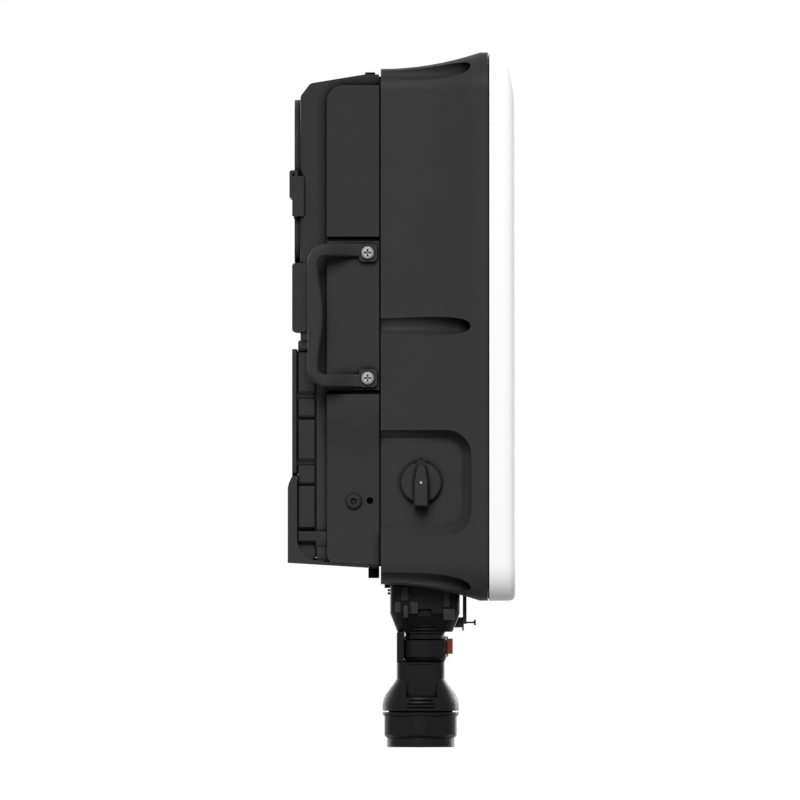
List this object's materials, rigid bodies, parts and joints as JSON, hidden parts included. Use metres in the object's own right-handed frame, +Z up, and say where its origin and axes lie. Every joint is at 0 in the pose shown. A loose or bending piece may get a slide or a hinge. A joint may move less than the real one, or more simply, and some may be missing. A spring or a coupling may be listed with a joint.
{
  "type": "hybrid inverter",
  "caption": "Wall-hung hybrid inverter with a white cover, black finned housing, side handles, DC switch and mains plug.",
  "frame": {"origin": "middle of the hanger's hook seat, the underside of its top fold, which rests on the wall rail", "axes": "+Z up, the front faces -Y and the wall is at +Y, +X to the right seen from the front"},
  "size_m": [0.5006, 0.2278, 0.696],
  "materials": {
    "white_cover": "smooth white powder-like paint",
    "black_casting": "fine matte black paint on die-cast aluminium",
    "black_sheet": "matte black paint on folded steel",
    "black_plastic": "moulded black nylon",
    "bare_aluminium": "bare cast and machined aluminium",
    "screw_steel": "bright zinc-plated steel",
    "seal_rubber": "black silicone rubber",
    "red_tab": "red-brown moulded plastic",
    "circuit_board": "green solder mask",
    "copper_wire": "enamelled copper wire and tinned contacts",
    "dark_case": "dark component casings",
    "lens": "frosted clear plastic"
  },
  "bodies": {
    "root": {"front_cover": "white_cover", "cover_gasket": "seal_rubber", "status_lens": "lens", "cover_screws": "screw_steel", "front_housing": "black_casting", "heat_sink": "bare_aluminium", "heat_sink_gasket": "seal_rubber", "rear_housing": "black_casting", "rear_wall": "black_casting", "housing_screws": "black_sheet", "rear_panel": "black_sheet", "hanger_rail": "black_sheet", "hanger_screws": "screw_steel", "cable_trough": "black_sheet", "fan_tray": "black_plastic", "fan_guard": "black_sheet", "fan_frame_left": "black_plastic", "fan_frame_middle": "black_plastic", "fan_frame_right": "black_plastic", "wall_rest": "black_sheet", "handle_left": "black_plastic", "handle_right": "black_plastic", "handle_screws": "screw_steel", "dc_switch_body": "dark_case", "dc_switch_seal": "seal_rubber", "earth_screw": "black_sheet", "ac_socket": "black_plastic", "ac_plug_body": "black_plastic", "ac_plug_insert": "black_plastic", "ac_gland_nut": "black_plastic", "ac_gland_seal": "seal_rubber", "ac_contacts": "copper_wire", "backup_socket": "black_plastic", "backup_cap": "black_plastic", "pv_sockets": "black_plastic", "pv_caps": "seal_rubber", "battery_caps": "seal_rubber", "battery_sockets": "black_plastic", "com_port_cover": "black_plastic", "breather_vent": "black_plastic", "socket_bracket": "black_sheet", "bracket_screw": "black_sheet", "power_modules": "dark_case", "power_board": "circuit_board", "dc_link_capacitors": "dark_case", "relays": "dark_case", "board_pillars": "screw_steel", "control_board": "circuit_board", "choke_box": "bare_aluminium", "filter_board": "circuit_board", "filter_chokes": "copper_wire"},
    "dc_switch": {"dc_switch_knob": "black_plastic"},
    "left_fan": {"fan_rotor_left": "black_plastic"},
    "middle_fan": {"fan_rotor_middle": "black_plastic"},
    "right_fan": {"fan_rotor_right": "black_plastic"},
    "lock_ring": {"ac_lock_ring": "black_plastic"},
    "release_tab": {"ac_release_tab": "red_tab"}
  },
  "joints": [
    {"name": "switch_turn", "type": "hinge", "parent": "root", "child": "dc_switch", "pos_m": [-0.214, -0.1277, -0.3097], "axis": [-1, 0, 0], "range_deg": [0, 90]},
    {"name": "left_fan_spin", "type": "hinge", "parent": "root", "child": "left_fan", "pos_m": [-0.13, -0.0196, -0.2395], "axis": [0, 1, 0], "continuous": true},
    {"name": "middle_fan_spin", "type": "hinge", "parent": "root", "child": "middle_fan", "pos_m": [0, -0.0196, -0.2395], "axis": [0, 1, 0], "continuous": true},
    {"name": "right_fan_spin", "type": "hinge", "parent": "root", "child": "right_fan", "pos_m": [0.13, -0.0196, -0.2395], "axis": [0, 1, 0], "continuous": true},
    {"name": "lock_ring_turn", "type": "hinge", "parent": "root", "child": "lock_ring", "pos_m": [-0.15, -0.1316, -0.4789], "axis": [0, 0, 1], "range_deg": [0, 30]},
    {"name": "release_tab_press", "type": "slide", "parent": "lock_ring", "child": "release_tab", "axis": [0, 1, 0], "range_m": [0, 0.002], "stiffness_N_per_m": 400}
  ]
}
